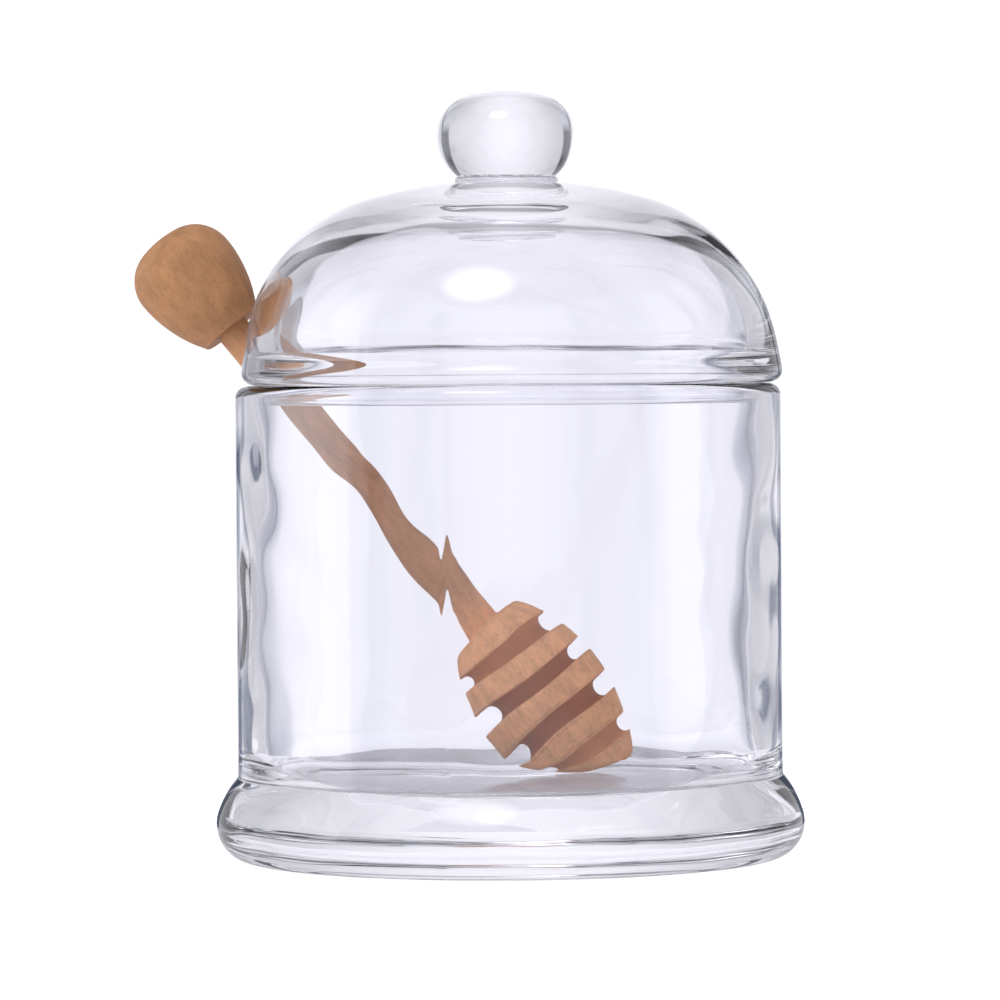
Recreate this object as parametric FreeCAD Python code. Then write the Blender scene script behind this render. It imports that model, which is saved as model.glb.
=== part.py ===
import FreeCAD, Part
import math
import os

from FreeCAD import Vector

# A honey pot: a heavy pressed-glass jar on a flared foot, a domed glass lid with a ball knob
# and a notch in its skirt, and a turned wooden dipper that leans out through that notch.
# Millimetres, +Z up. The origin is the middle of the jar's flat underside. The dipper leans
# towards -X, and passes just behind the middle plane, which is on the +Y side.

# Jar: outside
jar_height = 88.4
jar_radius = 50.8
foot_flare = 4.2             # how far the foot stands out beyond the wall
foot_edge_rounding = 6.8
foot_edge_rise = 20.0        # degrees that the foot's edge rounding runs on above its widest line
foot_slope_radius = 22.0     # the flared top of the foot
foot_corner_radius = 1.0     # the hollow where the foot's slope meets the wall

# Jar: inside
wall_at_mouth = 3.6
wall_at_floor = 4.4
floor_thickness = 10.7
floor_corner_radius = 10.5
mouth_inner_rounding = 1.2
rim_flat = 0.1

# Lid: the dome outside
seat_clearance = 0.1         # between the jar's rim and the lid's underside
skirt_overhang = -0.4        # the skirt's radius beyond the jar's wall
skirt_rounding = 1.9
dome_height = 38.0           # from the lid's underside to the crown of the dome
dome_side_lean = 7.6         # degrees that the side leans in at the skirt
dome_side_radius = 94.0
dome_side_end = 12.6         # degrees that it leans in where the shoulder takes over
dome_crown_radius = 97.0

# Lid: inside and locating ring
ring_clearance = 0.85        # all round, between the ring and the jar's mouth
ring_depth = 3.7             # below the lid's underside
ring_thickness = 2.1
ring_edge_rounding = 0.9
ring_root_radius = 0.5
dome_wall = 5.8
dome_inner_base = 5.5        # height above the lid's underside where the hollow starts to close
dome_roof_thickness = 7.1
dome_inner_crown_radius = 175.0

# Lid: knob
knob_radius = 13.0
knob_neck_radius = 9.3
knob_upper_height = 8.45     # from the knob's widest line to its top
knob_crown_radius = 30.0
knob_lower_height = 10.5     # half-height of the ellipse below the widest line
knob_bead_radius = 0.7       # the small bead round the neck
knob_bead_reach = 9.65
knob_bead_sink = 0.15        # how far the bead's centre stands above the dome

# Dipper: placing
dipper_lean = 50.2           # degrees below the horizontal
dipper_turn = 7.2            # degrees that its head swings towards -Y
dipper_set_back = 7.3        # how far behind the middle plane it crosses the rim
dipper_clearance = 0.1       # to the rim that it leans on and to the floor
crossing_tolerance = 1e-6    # in the search for where the stick comes to lie
handle_stand_off = 13.8      # along the stick, from the rim's plane to the handle

# Dipper: turning
stick_radius = 3.25
stick_root_radius = 0.8
disc_count = 5
disc_thickness = 4.6
groove_width = 3.3
head_radius = 12.7
head_barrel_reach = 21.5     # from the widest place to where the barrel's curve would close
head_widest_shift = 1.2      # the widest place lies this far from the head's middle, towards the handle
core_radius = 8.6            # the bottoms of the grooves, at the widest place
core_reach = 27.0            # from the widest place to where the core's curve would close
handle_radius = 10.1
handle_end_radius = 6.2
handle_end_rounding = 0.4
handle_taper_length = 13.9   # from the cut end to the widest place
handle_dome_height = 7.8
handle_crown_radius = 18.0

# Lid: notch for the stick
notch_side_clearance = 2.25
notch_top_clearance = 1.6

AXIS = Vector(0, 0, 1)
ORIGIN = Vector(0, 0, 0)


def point(radius, height):
    """A place on the outline of a turned piece."""
    return Vector(radius, 0, height)


def on_arc(centre, radius, degrees):
    angle = math.radians(degrees)
    return centre + Vector(radius * math.cos(angle), 0, radius * math.sin(angle))


def arc(centre, radius, start, end):
    """An arc of the outline from one angle to another, in degrees from straight outwards."""
    middle = on_arc(centre, radius, (start + end) / 2)
    return Part.Arc(on_arc(centre, radius, start), middle, on_arc(centre, radius, end)).toShape()


def line(start, end):
    return Part.makeLine(start, end)


def at_height(place, height):
    return Vector(place.x, place.y, height)


def direction(start, end):
    """The angle of the way from one place to another, in degrees from straight outwards."""
    return math.degrees(math.atan2(end.z - start.z, end.x - start.x))


def turned(outline):
    """The solid that a closed outline sweeps round the axis."""
    return Part.Face(Part.Wire(outline)).revolve(ORIGIN, AXIS, 360)


def shoulder_radius(start, lean, crown, crown_radius):
    """The radius of the arc that leaves a place square to its lean, in degrees, and joins the crown."""
    way = start - crown
    outwards = on_arc(ORIGIN, 1, lean)
    return (crown_radius ** 2 - way.dot(way)) / (2 * (crown_radius - way.dot(outwards)))


def two_arc_dome(radius, base, height, crown_radius):
    """A dome's outline from its upright side to the axis: a shoulder arc and a crown arc."""
    crown = point(0, base + height - crown_radius)
    bend = shoulder_radius(point(radius, base), 0, crown, crown_radius)
    shoulder = point(radius - bend, base)
    joint = direction(crown, shoulder)
    return [
        arc(shoulder, bend, 0, joint),
        arc(crown, crown_radius, joint, 90),
    ]


# Heights and radii that follow from the sizes above
mouth_radius = jar_radius - wall_at_mouth
rim_outer_rounding = wall_at_mouth - mouth_inner_rounding - rim_flat
seat_height = jar_height + seat_clearance
foot_radius = jar_radius + foot_flare
skirt_radius = jar_radius + skirt_overhang
ring_radius = mouth_radius - ring_clearance
dome_inner_radius = skirt_radius - dome_wall
head_length = disc_count * disc_thickness + (disc_count - 1) * groove_width
wall_draft = math.atan2(wall_at_floor - wall_at_mouth, jar_height - floor_thickness)


def cavity_radius(height):
    """The radius of the jar's straight inner wall, which opens a little towards the mouth."""
    return jar_radius - wall_at_floor + (height - floor_thickness) * math.tan(wall_draft)


def jar_solid():
    edge = point(foot_radius - foot_edge_rounding, foot_edge_rounding)
    slope = on_arc(edge, foot_slope_radius - foot_edge_rounding, foot_edge_rise + 180)
    corner_out = jar_radius + foot_corner_radius
    corner_rise = math.sqrt((foot_slope_radius + foot_corner_radius) ** 2 - (corner_out - slope.x) ** 2)
    corner = point(corner_out, slope.z + corner_rise)
    corner_angle = direction(slope, corner)
    shoulder = point(jar_radius - rim_outer_rounding, jar_height - rim_outer_rounding)

    draft = math.degrees(wall_draft)
    lip_height = jar_height - mouth_inner_rounding
    lip = point(mouth_radius + mouth_inner_rounding, lip_height)
    lip_end = on_arc(lip, mouth_inner_rounding, 180 - draft)
    hollow_height = floor_thickness + floor_corner_radius
    hollow_radius = cavity_radius(hollow_height) - floor_corner_radius / math.cos(wall_draft)
    hollow = point(hollow_radius, hollow_height)
    hollow_start = on_arc(hollow, floor_corner_radius, -draft)

    return turned([
        line(ORIGIN, point(edge.x, 0)),
        arc(edge, foot_edge_rounding, -90, foot_edge_rise),
        arc(slope, foot_slope_radius, foot_edge_rise, corner_angle),
        arc(corner, foot_corner_radius, corner_angle + 180, 180),
        line(point(jar_radius, corner.z), point(jar_radius, shoulder.z)),
        arc(shoulder, rim_outer_rounding, 0, 90),
        line(point(shoulder.x, jar_height), point(lip.x, jar_height)),
        arc(lip, mouth_inner_rounding, 90, 180 - draft),
        line(lip_end, hollow_start),
        arc(hollow, floor_corner_radius, -draft, -90),
        line(point(hollow.x, floor_thickness), point(0, floor_thickness)),
        line(point(0, floor_thickness), ORIGIN),
    ])


def dome_outline():
    """The lid's outside, from the edge of its underside to the crown of the dome."""
    skirt = point(skirt_radius - skirt_rounding, seat_height + skirt_rounding)
    side = on_arc(skirt, dome_side_radius - skirt_rounding, dome_side_lean + 180)
    side_top = on_arc(side, dome_side_radius, dome_side_end)
    crown = point(0, seat_height + dome_height - dome_crown_radius)
    bend = shoulder_radius(side_top, dome_side_end, crown, dome_crown_radius)
    shoulder = on_arc(side_top, -bend, dome_side_end)
    joint = direction(crown, shoulder)
    return [
        arc(skirt, skirt_rounding, -90, dome_side_lean),
        arc(side, dome_side_radius, dome_side_lean, dome_side_end),
        arc(shoulder, bend, dome_side_end, joint),
        arc(crown, dome_crown_radius, joint, 90),
    ]


def lid_hollow():
    """The closed underside: locating ring, straight throat and the hollow of the dome."""
    ring_bottom = seat_height - ring_depth
    outer_edge = point(ring_radius - ring_edge_rounding, ring_bottom + ring_edge_rounding)
    throat_radius = ring_radius - ring_thickness
    inner_edge = point(throat_radius + ring_edge_rounding, ring_bottom + ring_edge_rounding)
    root = point(ring_radius + ring_root_radius, seat_height - ring_root_radius)
    hollow_base = seat_height + dome_inner_base
    hollow_height = dome_height - dome_roof_thickness - dome_inner_base
    roof = seat_height + dome_height - dome_roof_thickness
    return [
        line(point(skirt_radius - skirt_rounding, seat_height), point(root.x, seat_height)),
        arc(root, ring_root_radius, 90, 180),
        line(point(ring_radius, root.z), point(ring_radius, outer_edge.z)),
        arc(outer_edge, ring_edge_rounding, 0, -90),
        line(point(outer_edge.x, ring_bottom), point(inner_edge.x, ring_bottom)),
        arc(inner_edge, ring_edge_rounding, 270, 180),
        line(point(throat_radius, inner_edge.z), point(dome_inner_radius, hollow_base)),
        *two_arc_dome(dome_inner_radius, hollow_base, hollow_height, dome_inner_crown_radius),
        line(point(0, roof), point(0, seat_height + dome_height)),
    ]


def knob_solid():
    """The ball knob: a rounded top, an egg-shaped underside, and a bead round the neck."""
    neck_drop = knob_lower_height * math.sqrt(1 - (knob_neck_radius / knob_radius) ** 2)
    neck_height = seat_height + dome_height + knob_bead_radius
    widest = neck_height + neck_drop
    middle = point(0, widest)
    ellipse = Part.Ellipse(point(knob_radius, widest), point(0, widest - knob_lower_height), middle)
    underside = Part.ArcOfEllipse(ellipse, 0, math.asin(neck_drop / knob_lower_height)).toShape()
    root_height = seat_height + dome_height - dome_crown_radius
    root_height += math.sqrt(dome_crown_radius ** 2 - knob_neck_radius ** 2) - knob_bead_radius
    solid = turned([
        line(point(0, root_height), point(knob_neck_radius, root_height)),
        line(point(knob_neck_radius, root_height), point(knob_neck_radius, neck_height)),
        underside,
        *two_arc_dome(knob_radius, widest, knob_upper_height, knob_crown_radius),
        line(point(0, widest + knob_upper_height), point(0, root_height)),
    ])
    bead_height = seat_height + dome_height - knob_bead_sink
    bead = Part.makeTorus(knob_bead_reach - knob_bead_radius, knob_bead_radius, point(0, bead_height))
    return solid.fuse(bead)


def barrel_curve(radius, reach, height):
    """The radius of a barrel-shaped curve at a height above the lower end of the dipper's head."""
    widest = head_length / 2 + head_widest_shift
    return radius * math.sqrt(1 - ((height - widest) / reach) ** 2)


def head_edge(height):
    """A place on the discs' edges, which lie on one barrel."""
    return point(barrel_curve(head_radius, head_barrel_reach, height), height)


def disc_faces(number):
    """The heights of one disc's lower and upper faces above the lower end of the head."""
    low = number * (disc_thickness + groove_width)
    return low, low + disc_thickness


def dipper_turning(length):
    """The dipper stood on its head: discs, stick and handle, turned from one piece."""
    edges = []
    inner_radius = 0
    for number in range(disc_count):
        low, high = disc_faces(number)
        edges.append(line(point(inner_radius, low), head_edge(low)))
        edges.append(Part.Arc(head_edge(low), head_edge((low + high) / 2), head_edge(high)).toShape())
        if number < disc_count - 1:
            groove = high + groove_width / 2
            inner_radius = barrel_curve(core_radius, core_reach, groove) + groove_width / 2
            edges.append(line(head_edge(high), point(inner_radius, high)))
            edges.append(arc(point(inner_radius, groove), groove_width / 2, 270, 90))
    cove = point(stick_radius + stick_root_radius, head_length + stick_root_radius)
    edges.append(line(head_edge(head_length), point(cove.x, head_length)))
    edges.append(arc(cove, stick_root_radius, 270, 180))

    handle_low = length - handle_taper_length - handle_dome_height
    edge = point(handle_end_radius - handle_end_rounding, handle_low + handle_end_rounding)
    edges.append(line(point(stick_radius, cove.z), point(stick_radius, handle_low)))
    edges.append(line(point(stick_radius, handle_low), point(edge.x, handle_low)))
    edges.append(arc(edge, handle_end_rounding, -90, 0))
    widest = handle_low + handle_taper_length
    rise = widest - edge.z
    spread = handle_radius - handle_end_radius
    taper_radius = (rise ** 2 + spread ** 2) / (2 * spread)
    taper = point(handle_radius - taper_radius, widest)
    edges.append(arc(taper, taper_radius, direction(taper, point(handle_end_radius, edge.z)), 0))
    edges += two_arc_dome(handle_radius, widest, handle_dome_height, handle_crown_radius)
    edges.append(line(point(0, length), ORIGIN))
    return turned(edges)


def up_the_stick():
    """The unit vector along the dipper, from its head to its handle."""
    lean = math.radians(dipper_lean)
    turn = math.radians(dipper_turn)
    flat = Vector(-math.cos(turn), math.sin(turn), 0) * math.cos(lean)
    return flat + AXIS * math.sin(lean)


def rim_crossing():
    """Where the stick's axis crosses the rim's plane when the stick lies on the jar's lip."""
    lip_radius = mouth_radius + mouth_inner_rounding
    lip_height = jar_height - mouth_inner_rounding
    lip = Part.makeCircle(lip_radius, Vector(0, 0, lip_height), AXIS)
    wanted = mouth_inner_rounding + stick_radius + dipper_clearance
    reach = up_the_stick() * jar_radius
    outside = -lip_radius
    inside = 0.0
    while inside - outside > crossing_tolerance:
        middle = (outside + inside) / 2
        place = Vector(middle, dipper_set_back, jar_height)
        if line(place - reach, place + reach).distToShape(lip)[0] < wanted:
            outside = middle
        else:
            inside = middle
    return Vector(inside, dipper_set_back, jar_height)


def depth_below_rim():
    """How far down the stick, from the rim's plane, the head's end lies when it stands on the floor."""
    lean = math.radians(dipper_lean)
    room = jar_height - floor_thickness - dipper_clearance
    ways_down = []
    for number in range(disc_count):
        for height in disc_faces(number):
            ways_down.append((room - head_edge(height).x * math.cos(lean)) / math.sin(lean) + height)
    return min(ways_down)


def dipper_solid():
    depth = depth_below_rim()
    length = depth + handle_stand_off + handle_taper_length + handle_dome_height
    foot = rim_crossing() - up_the_stick() * depth
    stood = FreeCAD.Placement(foot, FreeCAD.Rotation(AXIS, up_the_stick()))
    return dipper_turning(length).transformed(stood.toMatrix())


def notch_cutter():
    """An arch over the stick, from the middle of the lid out through the skirt and the ring."""
    crossing = rim_crossing()
    lean = math.radians(dipper_lean)
    outwards = at_height(up_the_stick(), 0).normalize()
    stick_top = jar_height + (skirt_radius + crossing.x) * math.tan(lean) + stick_radius / math.cos(lean)
    half_width = stick_radius + notch_side_clearance
    top = stick_top + notch_top_clearance
    spring = top - half_width
    bottom = seat_height - 2 * ring_depth
    start = crossing - outwards * crossing.dot(outwards)
    sideways = AXIS.cross(outwards) * half_width
    left = start + sideways
    right = start - sideways
    crown = Part.Arc(at_height(left, spring), at_height(start, top), at_height(right, spring))
    arch = Part.Wire([
        line(at_height(right, bottom), at_height(left, bottom)),
        line(at_height(left, bottom), at_height(left, spring)),
        crown.toShape(),
        line(at_height(right, spring), at_height(right, bottom)),
    ])
    return Part.Face(arch).extrude(outwards * 2 * skirt_radius)


def lid_solid():
    dome = turned(dome_outline() + lid_hollow())
    return dome.fuse(knob_solid()).cut(notch_cutter()).removeSplitter()


os.makedirs("parts", exist_ok=True)
pieces = {"jar": jar_solid(), "lid": lid_solid(), "dipper": dipper_solid()}
for name, shape in pieces.items():
    solid = shape.Solids[0]
    solid.exportStep("parts/" + name + ".step")
    box = solid.BoundBox
    print(name, len(shape.Solids), solid.isValid(), round(solid.Volume), "mm3",
          [round(v, 2) for v in (box.XMin, box.YMin, box.ZMin, box.XMax, box.YMax, box.ZMax)])
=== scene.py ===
import math

import bmesh
import bpy
import numpy as np
from mathutils import Matrix, Vector


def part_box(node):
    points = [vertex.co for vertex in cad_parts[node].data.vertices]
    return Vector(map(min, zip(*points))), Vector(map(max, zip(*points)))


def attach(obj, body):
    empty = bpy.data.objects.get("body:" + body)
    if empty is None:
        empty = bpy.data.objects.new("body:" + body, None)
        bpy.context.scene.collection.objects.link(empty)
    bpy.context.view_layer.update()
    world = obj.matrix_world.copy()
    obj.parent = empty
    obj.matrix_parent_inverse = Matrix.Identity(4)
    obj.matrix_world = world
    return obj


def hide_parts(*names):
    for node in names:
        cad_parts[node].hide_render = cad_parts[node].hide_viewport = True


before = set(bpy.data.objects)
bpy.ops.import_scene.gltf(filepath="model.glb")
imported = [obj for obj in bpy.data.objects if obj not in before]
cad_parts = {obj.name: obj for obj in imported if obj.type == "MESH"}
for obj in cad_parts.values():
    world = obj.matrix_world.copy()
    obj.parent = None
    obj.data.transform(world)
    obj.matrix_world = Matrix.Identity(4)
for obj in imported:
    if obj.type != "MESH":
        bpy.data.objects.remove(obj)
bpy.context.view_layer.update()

# ------------------------------------------------------------------------------------ The jar
# A heavy jar of clear soda glass, pressed in a mould: a thick floor that spreads into a rounded
# foot, upright walls that thin towards the mouth, and a rim softened in the flame. The plunger
# leaves the inside slightly wavy, and the joint of the mould leaves fine upright ridges outside.

jar_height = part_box("jar")[1].z
foot_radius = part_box("jar")[1].x
jar_radius = 0.0508
foot_edge_rounding = 0.0068
foot_edge_rise = 20
foot_slope_radius = 0.022
foot_corner_radius = 0.001
wall_at_mouth = 0.0036
wall_at_floor = 0.0044
floor_thickness = 0.0107
floor_corner_radius = 0.0105
mouth_inner_rounding = 0.0012
rim_flat = 0.0001
underside_rise = 0.0007      # the underside is slightly hollow, so the jar stands on a ring
glass_tint = (0.955, 0.955, 0.98)

# Shares of the inside's full waves on other surfaces, and the heights between which they change
underside_waves = 0.8
foot_waves = 0.9
foot_wave_heights = (0.002, 0.007, 0.013, 0.019)
floor_waves = 0.25
least_wave = 0.04            # on every inner surface
jar_wavy_height = jar_height - 0.014
jar_calm_height = jar_height - 0.002

# The ridge of a mould joint: distances round the wall and shares of its height there
joint_reach = (-0.016, 0.008)
joint_profile = (
    (-0.016, 0.0), (-0.0012, 0.72), (-0.0006, 0.80), (0.0, 1.0), (0.0004, 0.88),
    (0.001, 0.45), (0.0018, 0.20), (0.0035, 0.03), (0.008, 0.0),
)

outline_spacing = 0.001      # between the points of an outline
outline_turn = 6             # degrees at most that a bend turns between two points
outline_guard = 0.03         # a point this share of a step from each end keeps the bend's shading short
glass_facets = 288


def spread(length, degrees_turned=0):
    """Shares of the way along a stretch of outline, close together at its two ends."""
    steps = max(2, math.ceil(length / outline_spacing), math.ceil(abs(degrees_turned) / outline_turn))
    even = np.linspace(0, 1, steps + 1)
    return np.concatenate(([0, outline_guard / steps], even[1:-1], [1 - outline_guard / steps, 1]))


def straight(start, end):
    start, end = np.array(start), np.array(end)
    shares = spread(np.linalg.norm(end - start))
    return start + shares[:, None] * (end - start)


def bend(centre, radius, start, end):
    """An arc of the outline, from one angle to another, in degrees from straight outwards."""
    shares = spread(abs(math.radians(end - start)) * radius, end - start)
    angles = np.radians(start + shares * (end - start))
    return np.array(centre) + radius * np.stack((np.cos(angles), np.sin(angles)), axis=1)


def place_on(centre, radius, degrees):
    angle = math.radians(degrees)
    return (centre[0] + radius * math.cos(angle), centre[1] + radius * math.sin(angle))


def way(start, end):
    """The angle from one place to another, in degrees from straight outwards."""
    return math.degrees(math.atan2(end[1] - start[1], end[0] - start[0]))


def jar_outline():
    """The jar's outside, from the middle of its underside up to the rim, and its inside back down."""
    edge = (foot_radius - foot_edge_rounding, foot_edge_rounding)
    slope = place_on(edge, foot_slope_radius - foot_edge_rounding, foot_edge_rise + 180)
    corner_out = jar_radius + foot_corner_radius
    corner_rise = math.sqrt((foot_slope_radius + foot_corner_radius) ** 2 - (corner_out - slope[0]) ** 2)
    corner = (corner_out, slope[1] + corner_rise)
    corner_angle = way(slope, corner)
    rim_rounding = wall_at_mouth - mouth_inner_rounding - rim_flat
    shoulder = (jar_radius - rim_rounding, jar_height - rim_rounding)
    under = np.linspace(0, edge[0], math.ceil(edge[0] / outline_spacing))
    underside = np.column_stack((under, underside_rise * (1 + np.cos(math.pi * under / edge[0])) / 2))
    outside = [
        bend(edge, foot_edge_rounding, -90, foot_edge_rise),
        bend(slope, foot_slope_radius, foot_edge_rise, corner_angle),
        bend(corner, foot_corner_radius, corner_angle + 180, 180),
        straight((jar_radius, corner[1]), (jar_radius, shoulder[1])),
        bend(shoulder, rim_rounding, 0, 90),
    ]
    draft = math.atan2(wall_at_floor - wall_at_mouth, jar_height - floor_thickness)
    lip = (shoulder[0] - rim_flat, jar_height - mouth_inner_rounding)
    lip_end = place_on(lip, mouth_inner_rounding, 180 - math.degrees(draft))
    hollow_height = floor_thickness + floor_corner_radius
    wall_radius = jar_radius - wall_at_floor + floor_corner_radius * math.tan(draft)
    hollow = (wall_radius - floor_corner_radius / math.cos(draft), hollow_height)
    inside = [
        bend(lip, mouth_inner_rounding, 90, 180 - math.degrees(draft)),
        straight(lip_end, place_on(hollow, floor_corner_radius, -math.degrees(draft))),
        bend(hollow, floor_corner_radius, -math.degrees(draft), -90),
        straight((hollow[0], floor_thickness), (0, floor_thickness)),
    ]
    wave_heights = (floor_thickness, hollow_height, jar_wavy_height, jar_calm_height)
    return [
        waving([underside], lambda r, z: underside_waves * (1 - (r / edge[0]) ** 4)),
        waving(outside, lambda r, z: np.interp(z, foot_wave_heights, (0, foot_waves, foot_waves, 0))),
        waving(inside, lambda r, z: least_wave + np.interp(z, wave_heights, (floor_waves, 1, 1, 0))),
    ]


def waving(stretches, share):
    """Joined stretches, each point with its share of the waves worked out from its radius and height."""
    points = np.concatenate(stretches)
    return np.column_stack((points, share(points[:, 0], points[:, 1])))


def outline_mesh(stretches):
    """The stretches joined to one chain of points, each marked with its share of the inside's waves."""
    points = np.concatenate(stretches)
    points, marks = points[:, :2], points[:, 2]
    kept = np.concatenate(([True], np.linalg.norm(np.diff(points, axis=0), axis=1) > 1e-7))
    points, marks = points[kept], marks[kept]
    if np.sum(points[:-1, 0] * points[1:, 1] - points[1:, 0] * points[:-1, 1]) > 0:
        points, marks = points[::-1], marks[::-1]
    mesh = bpy.data.meshes.new("outline")
    chain = [(i, i + 1) for i in range(len(points) - 1)]
    mesh.from_pydata([(radius, 0, height) for radius, height in points], chain, [])
    mesh.attributes.new("inside", "FLOAT", "POINT").data.foreach_set("value", marks)
    return mesh


def add(tree, kind, inputs=None, **settings):
    """A node with its settings, and with values or links for its inputs."""
    node = tree.nodes.new(kind)
    for name, value in settings.items():
        setattr(node, name, value)
    for key, value in (inputs or {}).items():
        if isinstance(value, bpy.types.NodeSocket):
            tree.links.new(value, node.inputs[key])
        else:
            node.inputs[key].default_value = value
    return node


def calculate(tree, operation, first, second=0.0):
    return add(tree, "ShaderNodeMath", {0: first, 1: second}, operation=operation).outputs[0]


def turning_tree():
    """Turns an outline round the upright axis, and makes it as wavy as a hand or a plunger leaves it."""
    tree = bpy.data.node_groups.new("turn_round", "GeometryNodeTree")
    for name, kind in (
        ("Outline", "NodeSocketGeometry"),
        ("Facets", "NodeSocketInt"),
        ("Wave Height Outside", "NodeSocketFloat"),
        ("Wave Height Inside", "NodeSocketFloat"),
        ("Wave Length", "NodeSocketFloat"),
        ("Seed", "NodeSocketFloat"),
        ("Ripple Height", "NodeSocketFloat"),
        ("Ripple Length", "NodeSocketFloat"),
        ("Joint Angle", "NodeSocketFloat"),
        ("Joint Height", "NodeSocketFloat"),
        ("Crowding", "NodeSocketFloat"),
        ("Material", "NodeSocketMaterial"),
    ):
        tree.interface.new_socket(name, in_out="INPUT", socket_type=kind)
    tree.interface.new_socket("Turned", in_out="OUTPUT", socket_type="NodeSocketGeometry")
    given = add(tree, "NodeGroupInput").outputs

    # A grid with a row for each point of the outline and a column for each facet, the columns
    # closer together near the joints
    count = add(tree, "GeometryNodeAttributeDomainSize", {0: given["Outline"]}).outputs["Point Count"]
    columns = calculate(tree, "ADD", given["Facets"], 1)
    grid = add(tree, "GeometryNodeMeshGrid", {"Vertices X": count, "Vertices Y": columns})
    index = add(tree, "GeometryNodeInputIndex").outputs[0]
    row = calculate(tree, "FLOOR", calculate(tree, "DIVIDE", index, columns))
    column = calculate(tree, "SUBTRACT", index, calculate(tree, "MULTIPLY", row, columns))
    even_turn = calculate(tree, "DIVIDE", calculate(tree, "MULTIPLY", column, math.tau), given["Facets"])
    twice = calculate(tree, "MULTIPLY", calculate(tree, "SUBTRACT", even_turn, given["Joint Angle"]), 2.0)
    half_crowding = calculate(tree, "MULTIPLY", given["Crowding"], 0.5)
    crowded = calculate(tree, "MULTIPLY", calculate(tree, "SINE", twice), half_crowding)
    turn = calculate(tree, "SUBTRACT", even_turn, crowded)

    # Each grid point takes its place from the outline, turned by its column's angle
    place = add(tree, "GeometryNodeInputPosition").outputs[0]
    mark = add(tree, "GeometryNodeInputNamedAttribute", {"Name": "inside"}, data_type="FLOAT").outputs[0]
    outline_place = add(tree, "GeometryNodeSampleIndex",
                        {"Geometry": given["Outline"], "Value": place, "Index": row},
                        data_type="FLOAT_VECTOR").outputs[0]
    outline_mark = add(tree, "GeometryNodeSampleIndex",
                       {"Geometry": given["Outline"], "Value": mark, "Index": row},
                       data_type="FLOAT").outputs[0]
    turned = add(tree, "ShaderNodeVectorRotate", {"Vector": outline_place, "Angle": turn},
                 rotation_type="Z_AXIS").outputs[0]
    marked = add(tree, "GeometryNodeStoreNamedAttribute",
                 {"Geometry": grid.outputs["Mesh"], "Name": "inside", "Value": outline_mark},
                 data_type="FLOAT", domain="POINT").outputs[0]
    shaped = add(tree, "GeometryNodeSetPosition", {"Geometry": marked, "Position": turned}).outputs[0]
    closed = add(tree, "GeometryNodeMergeByDistance", {"Geometry": shaped, "Distance": 1e-6}).outputs[0]

    # Slow waves and short ripples along the surface's own normals
    inside = add(tree, "GeometryNodeInputNamedAttribute", {"Name": "inside"}, data_type="FLOAT").outputs[0]
    height = add(tree, "ShaderNodeMix",
                 {0: inside, 2: given["Wave Height Outside"], 3: given["Wave Height Inside"]}).outputs[0]
    noise = add(tree, "ShaderNodeTexNoise",
                {"Vector": place, "W": given["Seed"], "Detail": 2.0, "Roughness": 0.5,
                 "Scale": calculate(tree, "DIVIDE", 1.0, given["Wave Length"])},
                noise_dimensions="4D").outputs[0]
    wave = calculate(tree, "MULTIPLY", calculate(tree, "SUBTRACT", noise, 0.5), height)
    ripple_noise = add(tree, "ShaderNodeTexNoise",
                       {"Vector": place, "W": given["Seed"], "Detail": 0.0,
                        "Scale": calculate(tree, "DIVIDE", 1.0, given["Ripple Length"])},
                       noise_dimensions="4D").outputs[0]
    ripple_height = calculate(tree, "MULTIPLY", given["Ripple Height"], inside)
    ripple = calculate(tree, "MULTIPLY", calculate(tree, "SUBTRACT", ripple_noise, 0.5), ripple_height)
    normal = add(tree, "GeometryNodeInputNormal").outputs[0]
    raised = calculate(tree, "ADD", wave, ripple)
    offset = add(tree, "ShaderNodeVectorMath", {0: normal, 3: raised}, operation="SCALE").outputs[0]
    waved = add(tree, "GeometryNodeSetPosition", {"Geometry": closed, "Offset": offset}).outputs[0]

    # The two joints of the mould, each a low ridge that falls away more steeply on one side
    parts = add(tree, "ShaderNodeSeparateXYZ", {"Vector": place}).outputs
    angle = calculate(tree, "ARCTAN2", parts["Y"], parts["X"])
    off_joint = calculate(tree, "SUBTRACT", angle, given["Joint Angle"])
    aside = add(tree, "ShaderNodeMath", {0: off_joint, 1: math.pi / 2, 2: -math.pi / 2},
                operation="WRAP").outputs[0]
    along = add(tree, "ShaderNodeMapRange",
                {"Value": calculate(tree, "MULTIPLY", aside, jar_radius),
                 "From Min": joint_reach[0], "From Max": joint_reach[1]}).outputs[0]
    profile = add(tree, "ShaderNodeFloatCurve", {"Value": along})
    curve = profile.mapping.curves[0]
    for number, (place_across, share) in enumerate(joint_profile):
        across = (place_across - joint_reach[0]) / (joint_reach[1] - joint_reach[0])
        if number < 2:
            curve.points[number].location = (across, share)
        else:
            curve.points.new(across, share)
    profile.mapping.update()
    outer = add(tree, "ShaderNodeMapRange",
                {"Value": inside, "From Min": 0.0, "From Max": least_wave,
                 "To Min": 1.0, "To Max": 0.0}).outputs[0]
    full_ridge = calculate(tree, "MULTIPLY", profile.outputs[0], given["Joint Height"])
    ridge = calculate(tree, "MULTIPLY", full_ridge, outer)
    level = add(tree, "ShaderNodeVectorMath", {0: normal, 1: (1.0, 1.0, 0.0)},
                operation="MULTIPLY").outputs[0]
    raising = add(tree, "ShaderNodeVectorMath", {0: level, 3: ridge}, operation="SCALE").outputs[0]
    jointed = add(tree, "GeometryNodeSetPosition", {"Geometry": waved, "Offset": raising}).outputs[0]

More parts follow.
